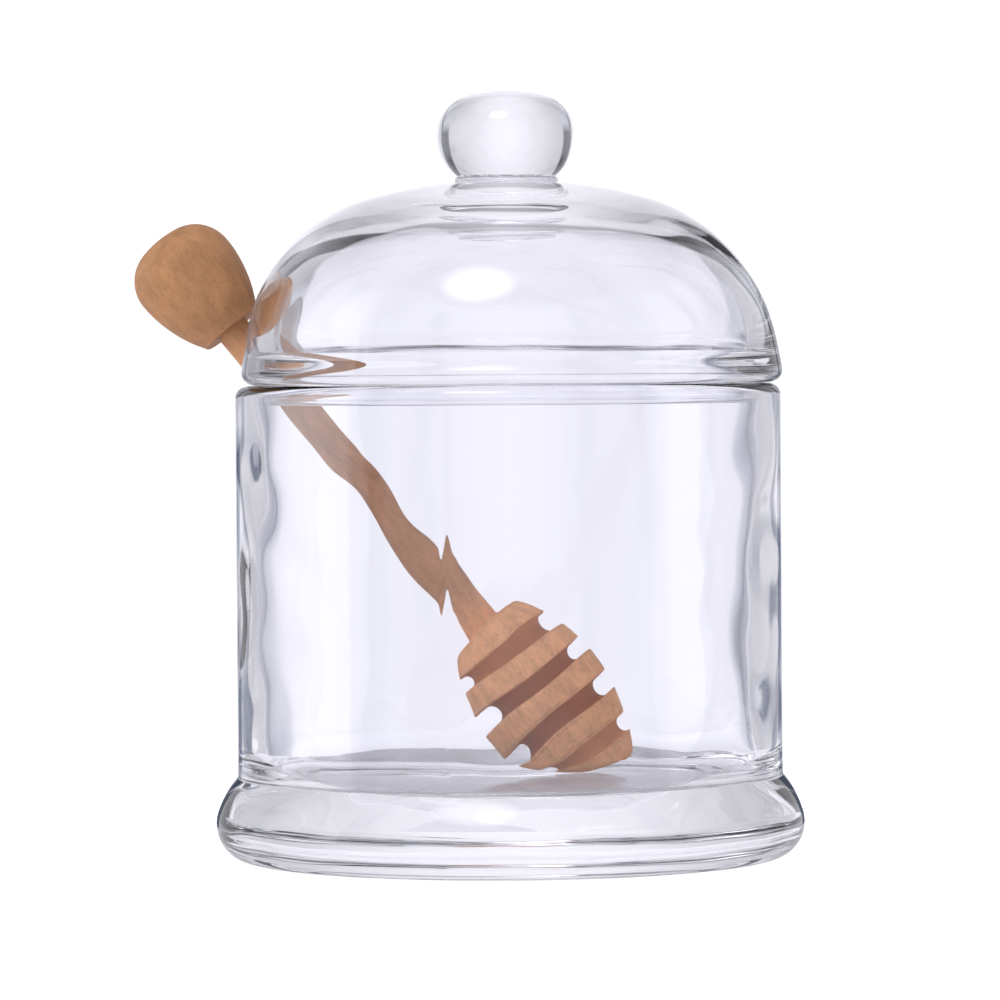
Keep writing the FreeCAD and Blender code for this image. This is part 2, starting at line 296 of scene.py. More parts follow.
    smooth = add(tree, "GeometryNodeSetShadeSmooth", {"Geometry": jointed}).outputs[0]
    real = add(tree, "GeometryNodeRealizeInstances", {"Geometry": smooth}).outputs[0]
    finish = add(tree, "GeometryNodeSetMaterial", {"Geometry": real, "Material": given["Material"]})
    tree.links.new(finish.outputs[0], add(tree, "NodeGroupOutput").inputs[0])
    return tree


turn_round = turning_tree()


def plain_mesh(piece):
    """The piece's mesh with its modifiers worked in."""
    evaluated = piece.evaluated_get(bpy.context.evaluated_depsgraph_get())
    return bpy.data.meshes.new_from_object(evaluated)


def turned_piece(name, outline, material, sizes):
    """A turned piece as a plain mesh, made by the tree from an outline and its sizes."""
    shaper = bpy.data.objects.new("shaper", outline)
    bpy.context.scene.collection.objects.link(shaper)
    modifier = shaper.modifiers.new("turn", "NODES")
    modifier.node_group = turn_round
    for socket in turn_round.interface.items_tree:
        if socket.name in sizes:
            modifier[socket.identifier] = sizes[socket.name]
        if socket.name == "Material":
            modifier[socket.identifier] = material
    piece = bpy.data.objects.new(name, plain_mesh(shaper))
    piece.data.name = name
    bpy.context.scene.collection.objects.link(piece)
    bpy.data.objects.remove(shaper)
    return piece


def clear_glass(name):
    """Clear glass with faint smears and fine ripples."""
    material = bpy.data.materials.new(name)
    material.use_nodes = True
    tree = material.node_tree
    tree.nodes.clear()
    coords = add(tree, "ShaderNodeTexCoord").outputs["Object"]
    smears = add(tree, "ShaderNodeTexNoise", {"Vector": coords, "Scale": 45.0, "Detail": 4.0}).outputs[0]
    roughness = add(tree, "ShaderNodeMapRange",
                    {"Value": smears, "From Min": 0.5, "From Max": 0.8, "To Min": 0.0, "To Max": 0.03})
    ripples = add(tree, "ShaderNodeTexNoise", {"Vector": coords, "Scale": 160.0, "Detail": 1.0}).outputs[0]
    ripple_relief = 0.000005
    relief = calculate(tree, "MULTIPLY", ripples, ripple_relief)
    bump = add(tree, "ShaderNodeBump", {"Height": relief, "Distance": 1.0, "Strength": 1.0}).outputs[0]
    surface = add(tree, "ShaderNodeBsdfPrincipled",
                  {"Base Color": (*glass_tint, 1), "Roughness": roughness.outputs[0], "IOR": 1.5,
                   "Transmission Weight": 1.0, "Normal": bump})
    output = add(tree, "ShaderNodeOutputMaterial")
    tree.links.new(surface.outputs[0], output.inputs["Surface"])
    return material


jar = turned_piece("glass_jar", outline_mesh(jar_outline()), clear_glass("jar_glass"), {
    "Facets": glass_facets,
    "Wave Height Outside": 0.00006,
    "Wave Height Inside": 0.0013,
    "Wave Length": 0.042,
    "Seed": 3.0,
    "Ripple Height": 0.00065,
    "Ripple Length": 0.013,
    "Joint Angle": math.radians(-103.3),
    "Joint Height": 0.000165,
    "Crowding": 0.75,
})
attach(jar, "root")
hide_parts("jar")

# ------------------------------------------------------------------------------------ The lid
# A domed lid of the same glass, pressed with its ball knob in one piece. A ring under its edge
# drops into the jar's mouth and keeps it in place, and a notch in the skirt, its edges rounded
# in the flame, lets the dipper's stick out.

seat_gap = 0.0001            # between the jar's rim and the lid
seat_height = jar_height + seat_gap
skirt_radius = 0.0504
skirt_rounding = 0.0022
dome_height = 0.038
dome_side_lean = 7.83
dome_side_end = 12.6
dome_side_radius = 0.094
dome_crown_radius = 0.097
ring_radius = 0.04635
ring_thickness = 0.0021
ring_edge_rounding = 0.0009
ring_root_radius = 0.0005
throat_swell = 0.0009        # how far the glass swells inwards above the ring
dome_inner_radius = 0.0446
dome_inner_base = 0.0055
dome_roof_thickness = 0.0071
dome_inner_crown_radius = 0.175
knob_radius = 0.0130
knob_neck_radius = 0.0093
knob_upper_height = 0.00845
knob_crown_radius = 0.030
knob_lower_height = 0.0105
knob_bead_radius = 0.0007
knob_bead_reach = 0.00965
knob_bead_sink = 0.00015
lid_wave_rise = 0.012        # in which the hollow's waves grow to their full height


def shoulder_radius(start, lean, crown, crown_radius):
    """The radius of the arc that leaves a place square to its lean, in degrees, and joins the crown."""
    out, up = start[0] - crown[0], start[1] - crown[1]
    lean_out, lean_up = place_on((0, 0), 1, lean)
    return (crown_radius ** 2 - out ** 2 - up ** 2) / (2 * (crown_radius - out * lean_out - up * lean_up))


def dome_inside(radius, base, height, crown_radius):
    """A dome from its upright side to the axis: a shoulder arc and a crown arc."""
    crown = (0, base + height - crown_radius)
    turn = shoulder_radius((radius, base), 0, crown, crown_radius)
    shoulder = (radius - turn, base)
    join = way(crown, shoulder)
    return [bend(shoulder, turn, 0, join), bend(crown, crown_radius, join, 90)]


def lid_outline():
    """The lid's outside from the top of the knob to the skirt, then its ring, throat and hollow."""
    top = seat_height + dome_height
    neck_drop = knob_lower_height * math.sqrt(1 - (knob_neck_radius / knob_radius) ** 2)
    neck_height = top + knob_bead_radius
    widest = neck_height + neck_drop
    angles = np.linspace(0, math.asin(neck_drop / knob_lower_height), 24)
    underside = np.stack((knob_radius * np.cos(angles), widest - knob_lower_height * np.sin(angles)), axis=1)
    bead = (knob_bead_reach - knob_bead_radius, top - knob_bead_sink)
    bead_start = math.degrees(math.acos((knob_neck_radius - bead[0]) / knob_bead_radius))
    crown = (0, top - dome_crown_radius)
    bead_end_height = crown[1] + math.sqrt(dome_crown_radius ** 2 - knob_bead_reach ** 2)
    bead_end = math.degrees(math.asin((bead_end_height - bead[1]) / knob_bead_radius))
    skirt = (skirt_radius - skirt_rounding, seat_height + skirt_rounding)
    side = place_on(skirt, dome_side_radius - skirt_rounding, dome_side_lean + 180)
    side_top = place_on(side, dome_side_radius, dome_side_end)
    turn = shoulder_radius(side_top, dome_side_end, crown, dome_crown_radius)
    shoulder = place_on(side_top, -turn, dome_side_end)
    knob_top = dome_inside(knob_radius, widest, knob_upper_height, knob_crown_radius)
    crown_start = way(crown, place_on(bead, knob_bead_radius, bead_end))
    crown_end = way(crown, shoulder)
    outside = [
        *(stretch[::-1] for stretch in knob_top[::-1]),
        underside,
        bend(bead, knob_bead_radius, bead_start, bead_end),
        bend(crown, dome_crown_radius, crown_start, crown_end),
        bend(shoulder, turn, crown_end, dome_side_end),
        bend(side, dome_side_radius, dome_side_end, dome_side_lean),
        bend(skirt, skirt_rounding, dome_side_lean, -90),
    ]
    ring_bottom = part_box("lid")[0].z
    outer_edge = (ring_radius - ring_edge_rounding, ring_bottom + ring_edge_rounding)
    throat_radius = ring_radius - ring_thickness
    inner_edge = (throat_radius + ring_edge_rounding, ring_bottom + ring_edge_rounding)
    root = (ring_radius + ring_root_radius, seat_height - ring_root_radius)
    hollow_base = seat_height + dome_inner_base
    hollow_height = dome_height - dome_roof_thickness - dome_inner_base
    throat_heights = np.linspace(inner_edge[1], hollow_base, 24)
    throat_way = (throat_heights - inner_edge[1]) / (hollow_base - inner_edge[1])
    swell = throat_swell * np.sin(math.pi * throat_way) ** 2
    throat = throat_radius + throat_way * (dome_inner_radius - throat_radius) - swell
    inside = [
        straight((skirt[0], seat_height), (root[0], seat_height)),
        bend(root, ring_root_radius, 90, 180),
        straight((ring_radius, root[1]), (ring_radius, outer_edge[1])),
        bend(outer_edge, ring_edge_rounding, 0, -90),
        bend(inner_edge, ring_edge_rounding, 270, 180),
        np.column_stack((throat, throat_heights)),
        *dome_inside(dome_inner_radius, hollow_base, hollow_height, dome_inner_crown_radius),
    ]
    wave_heights = (seat_height, seat_height + lid_wave_rise)
    return [
        waving(outside, lambda r, z: 0 * z),
        waving(inside, lambda r, z: least_wave + np.interp(z, wave_heights, (0, 1))),
    ]


lid = turned_piece("glass_lid", outline_mesh(lid_outline()), clear_glass("lid_glass"), {
    "Facets": glass_facets,
    "Wave Height Outside": 0.00006,
    "Wave Height Inside": 0.0010,
    "Wave Length": 0.036,
    "Seed": 8.0,
    "Ripple Height": 0.0001,
    "Ripple Length": 0.014,
    "Joint Angle": 0.0,
    "Joint Height": 0.0,
    "Crowding": 0.0,
})

# The notch, an arch over the stick, is wider where it comes out, as its edges are rounded
notch_half_width = 0.0055
notch_top = 0.10412
notch_heading = 172.8        # degrees from +X
notch_aside = 0.00187        # of the notch's middle line, to the left of its heading
notch_lip = 0.0011
notch_foot_rounding = 0.0008
notch_bottom = seat_height - 0.007
notch_overshoot = 0.006      # of the cutter past the glass on both sides
sharp_edge_angle = 35        # degrees, past which an edge isn't shaded smooth


def notch_profile():
    """Half of the arch, from its foot to its crown: places across and up, and the way to widen there."""
    feet = [(notch_half_width + notch_foot_rounding, notch_bottom, 1, 0)]
    for turn in np.radians(np.linspace(90, 0, 7)):
        across = notch_half_width + notch_foot_rounding * (1 - math.cos(turn))
        feet.append((across, seat_height + notch_foot_rounding * (1 - math.sin(turn)), 1, 0))
    spring = notch_top - notch_half_width
    sides = [(notch_half_width, height, 1, 0) for height in np.linspace(feet[-1][1], spring, 10)[1:-1]]
    arch = []
    for turn in np.radians(np.linspace(0, 90, 19)):
        aside, up = math.cos(turn), math.sin(turn)
        arch.append((notch_half_width * aside, spring + notch_half_width * up, aside, up))
    return feet + sides + arch


def notch_stations(inner, outer):
    """Distances from the lid's middle, and how much wider the notch is at each, along one line of it."""
    rounding = [(notch_lip * (1 - math.cos(turn)), notch_lip * (1 - math.sin(turn)))
                for turn in np.radians(np.linspace(0, 90, 7))]
    just_past, well_past = 0.0004, 0.002
    stations = [(inner - notch_overshoot, notch_lip + well_past), (inner - just_past, notch_lip + just_past)]
    stations += [(inner + along, wider) for along, wider in rounding]
    middle = np.linspace(inner + notch_lip, outer - notch_lip, 5)[1:-1]
    stations += [(distance, 0) for distance in middle]
    stations += [(outer - along, wider) for along, wider in rounding[::-1]]
    stations += [(outer + just_past, notch_lip + just_past), (outer + notch_overshoot, notch_lip + well_past)]
    return stations


def notch_cutter(outside, inside):
    """The closed shape that the notch takes away, from the lid's two outlines as radius by height."""
    heading = math.radians(notch_heading)
    ahead = Vector((math.cos(heading), math.sin(heading), 0))
    aside = Vector((-math.sin(heading), math.cos(heading), 0))
    half = notch_profile()
    mirrored = [(-across, up, -wide_across, wide_up) for across, up, wide_across, wide_up in half[-2::-1]]
    profile = half + mirrored
    shape = bmesh.new()
    rows = []
    for across, height, wide_across, wide_up in profile:
        off_line = across - notch_aside
        inner = math.sqrt(np.interp(height, *inside) ** 2 - off_line ** 2)
        outer = math.sqrt(np.interp(height, *outside) ** 2 - off_line ** 2)
        row = []
        for distance, wider in notch_stations(inner, outer):
            place = ahead * distance + aside * (off_line + wide_across * wider)
            row.append(shape.verts.new((place.x, place.y, height + wide_up * wider)))
        rows.append(row)
    for row, following in zip(rows, rows[1:] + rows[:1]):
        for number in range(len(row) - 1):
            shape.faces.new((row[number], row[number + 1], following[number + 1], following[number]))
    for end in (0, -1):
        shape.faces.new([row[end] for row in rows])
    bmesh.ops.recalc_face_normals(shape, faces=shape.faces)
    for face in shape.faces:
        face.smooth = True
    mesh = bpy.data.meshes.new("notch_cutter")
    shape.to_mesh(mesh)
    return bpy.data.objects.new("notch_cutter", mesh)


def radius_by_height(points, lowest):
    """The outline's radius at each height up to the notch's top and a little more, for interpolation."""
    spare = 0.004
    near = points[(points[:, 1] >= lowest) & (points[:, 1] <= notch_top + spare)]
    near = near[np.argsort(near[:, 1])]
    return near[:, 1], near[:, 0]


lid_outside, lid_inside = lid_outline()
cutter = notch_cutter(radius_by_height(lid_outside, seat_height + skirt_rounding),
                      radius_by_height(lid_inside, seat_height + dome_inner_base))
bpy.context.scene.collection.objects.link(cutter)
cut = lid.modifiers.new("notch", "BOOLEAN")
cut.object = cutter
cut.solver = "MANIFOLD"
uncut = lid.data
lid.data = plain_mesh(lid)
lid.data.name = "glass_lid"
lid.modifiers.clear()
bpy.data.meshes.remove(uncut)
bpy.data.objects.remove(cutter)
lid.data.set_sharp_from_angle(angle=math.radians(sharp_edge_angle))

# The lid has slid to one side nearly as far as its ring lets it. Its dome is pressed a little
# askew, so the knob stays over the middle of the jar.
lid_offset = 0.00075
lid_offset_end = seat_height + 0.031
places = np.zeros(len(lid.data.vertices) * 3, np.float32)
lid.data.vertices.foreach_get("co", places)
places = places.reshape(-1, 3)
way_up = np.clip((places[:, 2] - seat_height) / (lid_offset_end - seat_height), 0, 1)
places[:, 0] += lid_offset * (1 + np.cos(math.pi * way_up)) / 2
lid.data.vertices.foreach_set("co", places.ravel())
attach(lid, "root")
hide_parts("lid")

# ---------------------------------------------------------------------------------- The dipper
# A honey dipper turned from one piece of beech, sanded and left bare: a barrel-shaped head cut
# into discs, a thin stick and a bulb for a handle. It stands on the jar's floor and leans on its
# lip, and the bulb hangs outside the lid.

dipper_lean = 50.2           # degrees above the floor
dipper_turn = 7.2            # degrees from -X towards +Y
head_end = Vector((0.018321, -0.000429, 0.014382))
dipper_length = 0.13184
stick_radius = 0.00325
stick_root_radius = 0.0008
disc_count = 5
disc_thickness = 0.0046
disc_edge_rounding = 0.00035
groove_width = 0.0033
head_radius = 0.0127
head_barrel_reach = 0.0215
head_widest_shift = 0.0012
core_radius = 0.0086
core_reach = 0.027
handle_radius = 0.0101
handle_end_radius = 0.0062
handle_end_rounding = 0.0004
handle_taper_length = 0.0139
handle_dome_height = 0.0078
handle_crown_radius = 0.018
head_length = disc_count * disc_thickness + (disc_count - 1) * groove_width
# The head's tone is paler than the handle's: painted light for the strong light inside the jar
head_tone_painted_lit = (0.80, 0.385, 0.180)
stick_tone = (0.52, 0.262, 0.135)
handle_tone = (0.40, 0.195, 0.083)
pore_tone = (0.20, 0.08, 0.03)
# The grooves' brown is partly burn from the cutting tool and partly painted shade
groove_burn_and_shade_tone = (0.46, 0.150, 0.042)
stick_tone_reach = (head_length / dipper_length + 0.08, 0.78)      # shares of the dipper's length
handle_tone_start = 0.86
burn_and_shade_depth = (0.0006, 0.0038)       # below the discs' edges, where it starts and is full
burn_and_shade_reach = (0.002, head_length - 0.001)


def barrel(radius, reach, height):
    """The radius of a barrel-shaped curve at a height above the head's end."""
    widest = head_length / 2 + head_widest_shift
    return radius * math.sqrt(1 - ((height - widest) / reach) ** 2)


def disc_stretches(low, inner_radius):
    """One disc of the head: its lower face, its edge with softened corners, and its upper face."""
    high = low + disc_thickness
    lower = (barrel(head_radius, head_barrel_reach, low) - disc_edge_rounding, low + disc_edge_rounding)
    upper = (barrel(head_radius, head_barrel_reach, high) - disc_edge_rounding, high - disc_edge_rounding)
    heights = np.linspace(low + disc_edge_rounding, high - disc_edge_rounding, 9)
    edge = np.array([(barrel(head_radius, head_barrel_reach, height), height) for height in heights])
    return [
        straight((inner_radius, low), (lower[0], low)),
        bend(lower, disc_edge_rounding, -90, 0),
        edge,
        bend(upper, disc_edge_rounding, 0, 90),
    ]


def dipper_outline():
    stretches = []
    inner_radius = 0
    for number in range(disc_count):
        low = number * (disc_thickness + groove_width)
        stretches += disc_stretches(low, inner_radius)
        if number < disc_count - 1:
            groove = low + disc_thickness + groove_width / 2
            inner_radius = barrel(core_radius, core_reach, groove) + groove_width / 2
            stretches.append(straight(stretches[-1][-1], (inner_radius, low + disc_thickness)))
            stretches.append(bend((inner_radius, groove), groove_width / 2, 270, 90))
    cove = (stick_radius + stick_root_radius, head_length + stick_root_radius)
    stretches.append(straight(stretches[-1][-1], (cove[0], head_length)))
    stretches.append(bend(cove, stick_root_radius, 270, 180))

    handle_low = dipper_length - handle_taper_length - handle_dome_height
    edge = (handle_end_radius - handle_end_rounding, handle_low + handle_end_rounding)
    widest = handle_low + handle_taper_length
    rise = widest - edge[1]
    spread_out = handle_radius - handle_end_radius
    taper_radius = (rise ** 2 + spread_out ** 2) / (2 * spread_out)
    taper = (handle_radius - taper_radius, widest)
    stretches += [
        straight((stick_radius, cove[1]), (stick_radius, handle_low)),
        straight((stick_radius, handle_low), (edge[0], handle_low)),
        bend(edge, handle_end_rounding, -90, 0),
        bend(taper, taper_radius, way(taper, (handle_end_radius, edge[1])), 0),
        *dome_inside(handle_radius, widest, handle_dome_height, handle_crown_radius),
    ]
    return [waving(stretches, lambda r, z: 0 * z)]


def bare_beech():
    """Sanded beech: a head painted paler for the strong light inside the jar, a darker handle, short dark
    pores along the grain.
    """
    material = bpy.data.materials.new("bare_beech")
    material.use_nodes = True
    tree = material.node_tree
    tree.nodes.clear()
    grain = add(tree, "ShaderNodeAttribute", attribute_name="grain").outputs["Vector"]
    parts = add(tree, "ShaderNodeSeparateXYZ", {"Vector": grain}).outputs

    # The tone along the dipper, from its head to its handle; the head's paler tone is painted light
    tone = add(tree, "ShaderNodeValToRGB", {"Fac": calculate(tree, "DIVIDE", parts["Z"], dipper_length)})
    ramp = tone.color_ramp.elements
    ramp[0].position, ramp[0].color = head_length / dipper_length, (*head_tone_painted_lit, 1)
    ramp[1].position, ramp[1].color = handle_tone_start, (*handle_tone, 1)
    for place_along in stick_tone_reach:
        ramp.new(place_along).color = (*stick_tone, 1)

    # Soft mottling, drawn out along the grain
    stretched = add(tree, "ShaderNodeMapping", {"Vector": grain, "Scale": (1.0, 1.0, 0.35)}).outputs[0]
    mottle = add(tree, "ShaderNodeTexNoise",
                 {"Vector": stretched, "Scale": 420.0, "Detail": 6.0, "Roughness": 0.62}).outputs[0]
    light = add(tree, "ShaderNodeMapRange",
                {"Value": mottle, "From Min": 0.3, "From Max": 0.7, "To Min": 0.8, "To Max": 1.2}).outputs[0]
    mottled = add(tree, "ShaderNodeVectorMath", {0: tone.outputs[0], 3: light}, operation="SCALE").outputs[0]

    # Fine pores, and the grooves' bottoms browned, partly burned by the cutting tool and partly painted shade
    dashes = add(tree, "ShaderNodeMapping", {"Vector": grain, "Scale": (1.0, 1.0, 0.2)}).outputs[0]
    pores = add(tree, "ShaderNodeTexNoise", {"Vector": dashes, "Scale": 3400.0, "Detail": 2.0}).outputs[0]
    pore_share = add(tree, "ShaderNodeMapRange",
                     {"Value": pores, "From Min": 0.5, "From Max": 0.68,
                      "To Min": 0.0, "To Max": 0.26}).outputs[0]
    porous = add(tree, "ShaderNodeMix", {0: pore_share, 6: mottled, 7: (*pore_tone, 1)},
                 data_type="RGBA").outputs[2]
    groove_burn_and_shade = add(tree, "ShaderNodeAttribute", attribute_name="groove_burn_and_shade").outputs["Fac"]
    burned_and_shaded = add(tree, "ShaderNodeMix", {0: groove_burn_and_shade, 6: porous, 7: (*groove_burn_and_shade_tone, 1)},
                  data_type="RGBA").outputs[2]

    tooth = calculate(tree, "SUBTRACT", mottle, calculate(tree, "MULTIPLY", pore_share, 0.6))
    bump = add(tree, "ShaderNodeBump", {"Height": tooth, "Distance": 0.00012, "Strength": 0.6}).outputs[0]
    roughness = add(tree, "ShaderNodeMapRange", {"Value": mottle, "To Min": 0.5, "To Max": 0.72}).outputs[0]
    surface = add(tree, "ShaderNodeBsdfPrincipled",
                  {"Base Color": burned_and_shaded, "Roughness": roughness, "Normal": bump, "Specular IOR Level": 0.3})
    output = add(tree, "ShaderNodeOutputMaterial")
    tree.links.new(surface.outputs[0], output.inputs["Surface"])
    return material


dipper = turned_piece("beech_dipper", outline_mesh(dipper_outline()), bare_beech(), {
    "Facets": 128,
    "Wave Height Outside": 0.0003,
    "Wave Height Inside": 0.0,
    "Wave Length": 0.012,
    "Seed": 5.0,
    "Ripple Height": 0.0,
    "Ripple Length": 0.014,
    "Joint Angle": 0.0,
    "Joint Height": 0.0,
    "Crowding": 0.0,
})

# Each point of the wood keeps its place before the dipper leans, and how deep it lies in a groove,
# which sets its burn and painted shade
places = np.zeros(len(dipper.data.vertices) * 3, np.float32)
dipper.data.vertices.foreach_get("co", places)
dipper.data.attributes.new("grain", "FLOAT_VECTOR", "POINT").data.foreach_set("vector", places)
places = places.reshape(-1, 3)
heights = places[:, 2]
edges = [barrel(head_radius, head_barrel_reach, min(max(height, 0), head_length)) for height in heights]
below_edges = edges - np.hypot(places[:, 0], places[:, 1])
burn_and_shade_shares = np.clip((below_edges - burn_and_shade_depth[0]) / (burn_and_shade_depth[1] - burn_and_shade_depth[0]), 0, 1)
burn_and_shade_shares *= (heights > burn_and_shade_reach[0]) & (heights < burn_and_shade_reach[1])
dipper.data.attributes.new("groove_burn_and_shade", "FLOAT", "POINT").data.foreach_set("value", burn_and_shade_shares)

lean = math.radians(dipper_lean)
turn = math.radians(dipper_turn)
up_the_stick = Vector((-math.cos(turn) * math.cos(lean), math.sin(turn) * math.cos(lean), math.sin(lean)))
leaning = Vector((0, 0, 1)).rotation_difference(up_the_stick).to_matrix().to_4x4()
dipper.data.transform(Matrix.Translation(head_end) @ leaning)
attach(dipper, "root")
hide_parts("dipper")

# --------------------------------------------------------------------------- Floor and daylight
# A white table inside a tent of soft white light, with a window behind its left wall and a round
# softbox high in front. The tent is grey between its four bright walls and in a ring of its roof,
# which draws the darker lines that shape clear glass.

table_radius = 0.25
table_gap = 0.0001           # of air under the foot
table_white = (0.86, 0.86, 0.875)
table_glow = (0.1, 0.8)      # through the glass, and seen directly


def pale_table():
    """Matt white that glows a little, and more where it is seen bare."""
    material = bpy.data.materials.new("pale_table")
    material.use_nodes = True
    tree = material.node_tree
    surface = tree.nodes["Principled BSDF"]
    coords = add(tree, "ShaderNodeTexCoord").outputs["Object"]
    speckle = add(tree, "ShaderNodeTexNoise", {"Vector": coords, "Scale": 90.0}).outputs[0]
    roughness = add(tree, "ShaderNodeMapRange", {"Value": speckle, "To Min": 0.5, "To Max": 0.6}).outputs[0]
    tree.links.new(roughness, surface.inputs["Roughness"])
    surface.inputs["Base Color"].default_value = (*table_white, 1)
    surface.inputs["Specular IOR Level"].default_value = 0.1
    seen_bare = add(tree, "ShaderNodeLightPath").outputs["Is Camera Ray"]
    glow = add(tree, "ShaderNodeMapRange",
               {"Value": seen_bare, "To Min": table_glow[0], "To Max": table_glow[1]}).outputs[0]
    tree.links.new(glow, surface.inputs["Emission Strength"])
    surface.inputs["Emission Color"].default_value = (1, 1, 1, 1)
    return material


bpy.ops.mesh.primitive_circle_add(radius=table_radius, vertices=128, fill_type="NGON")
table = bpy.context.object
table.name = "table"
table.data.transform(Matrix.Translation((0, 0, -table_gap)))
table.data.materials.append(pale_table())

tent_tone = (1.0, 0.992, 1.06)
wall_shades = (0.62, 1.0)    # between two walls, and in the middle of one
roof_shades = ((0.45, 0.93), (0.60, 0.90), (0.66, 0.42), (0.78, 0.42))      # by the sine of the rise
fill_share = 0.6             # of the tent's light is added where it falls on wood or table
bare_white = 1.1             # where the camera sees the tent bare
window_way = Vector((-1, 0, 0.12)).normalized()
window_edges = (32, 6)       # degrees from its middle, where its glow starts and is full
window_glow = 1.0
softbox_heading = math.radians(-19)
softbox_rise = math.radians(55)
softbox_edges = (16, 2)
softbox_glow = 4.5
softbox_way = Vector((math.sin(softbox_heading) * math.cos(softbox_rise),
                      -math.cos(softbox_heading) * math.cos(softbox_rise), math.sin(softbox_rise)))

world = bpy.data.worlds.new("light_tent")
bpy.context.scene.world = world
world.use_nodes = True
tent = world.node_tree
tent.nodes.clear()
ray = add(tent, "ShaderNodeTexCoord").outputs["Generated"]
ray_parts = add(tent, "ShaderNodeSeparateXYZ", {"Vector": ray}).outputs
heading = calculate(tent, "ARCTAN2", ray_parts["X"], ray_parts["Y"])
towards_wall = calculate(tent, "COSINE", calculate(tent, "MULTIPLY", heading, 4.0))
wall = add(tent, "ShaderNodeMapRange",
           {"Value": towards_wall, "From Min": -1.0, "From Max": 1.0,
            "To Min": wall_shades[0], "To Max": wall_shades[1]}).outputs[0]
roof = add(tent, "ShaderNodeValToRGB", {"Fac": calculate(tent, "ABSOLUTE", ray_parts["Z"])})
roof_ramp = roof.color_ramp.elements
roof_ramp[0].position, roof_ramp[0].color = 0.10, (1.0, 1.0, 1.0, 1)
roof_ramp[1].position, roof_ramp[1].color = 0.86, (0.85, 0.85, 0.85, 1)
for place_up, shade in roof_shades:
    roof_ramp.new(place_up).color = (shade, shade, shade, 1)


def round_glow(middle, edges, strength):
    """A round patch of light in the tent, soft from its edge to its full middle."""
    towards = add(tent, "ShaderNodeVectorMath", {0: ray, 1: middle}, operation="DOT_PRODUCT").outputs["Value"]
    return add(tent, "ShaderNodeMapRange",
               {"Value": towards, "From Min": math.cos(math.radians(edges[0])),
                "From Max": math.cos(math.radians(edges[1])), "To Min": 0.0, "To Max": strength},
               interpolation_type="SMOOTHSTEP").outputs[0]


window = round_glow(window_way, window_edges, window_glow)
softbox = round_glow(softbox_way, softbox_edges, softbox_glow)
paths = add(tent, "ShaderNodeLightPath").outputs
scattered = calculate(tent, "MINIMUM", paths["Diffuse Depth"], 1.0)
fill = calculate(tent, "ADD", 1.0, calculate(tent, "MULTIPLY", scattered, fill_share))
glow = calculate(tent, "MULTIPLY", calculate(tent, "MULTIPLY", wall, roof.outputs[0]), fill)
glow = calculate(tent, "ADD", calculate(tent, "ADD", glow, window), softbox)
light = add(tent, "ShaderNodeBackground", {"Color": (*tent_tone, 1), "Strength": glow})
white = add(tent, "ShaderNodeBackground", {"Color": (1, 1, 1, 1), "Strength": bare_white})
lit = add(tent, "ShaderNodeMixShader", {0: paths["Is Camera Ray"], 1: light.outputs[0], 2: white.outputs[0]})
tent.links.new(lit.outputs[0], add(tent, "ShaderNodeOutputWorld").inputs[0])

# --------------------------------------------------------------------------------------- Cards
# Four tall strips of card stand round the pot, half way between the walls of the tent. They glow
# in painted shades of grey instead of taking light, are hidden from plain sight and cast no shadow:
# they only show in reflections and through the glass, where they draw the dark bands up its sides.

card_count = 4
card_strips = 12
card_distance = 0.100
card_spread = 9.0            # degrees to each side of a card's middle
card_soft_edge = 3.0         # degrees
card_height = 0.30
rim_heights = (0.084, 0.092)       # where the low shades give way to the middle ones
side_heights = (0.120, 0.130)      # where the middle shades give way to the high ones
high_heights = (0.155, 0.165)      # where the high shade darkens
pale_tone = (0.62, 0.64, 0.70)
dark_tone = (0.13, 0.13, 0.15)
dark_edge = (41, 39)               # degrees from the X axis, where the middle shade turns dark

# The low shades across a card, away from the X axis: bluish, then a dark line, then ever paler
low_shades = (
    (0.2, (0.16, 0.19, 0.27)), (0.38, (0.16, 0.19, 0.27)), (0.46, (0.03, 0.04, 0.07)),
    (0.54, (0.22, 0.24, 0.31)), (0.66, (0.50, 0.52, 0.60)),
)


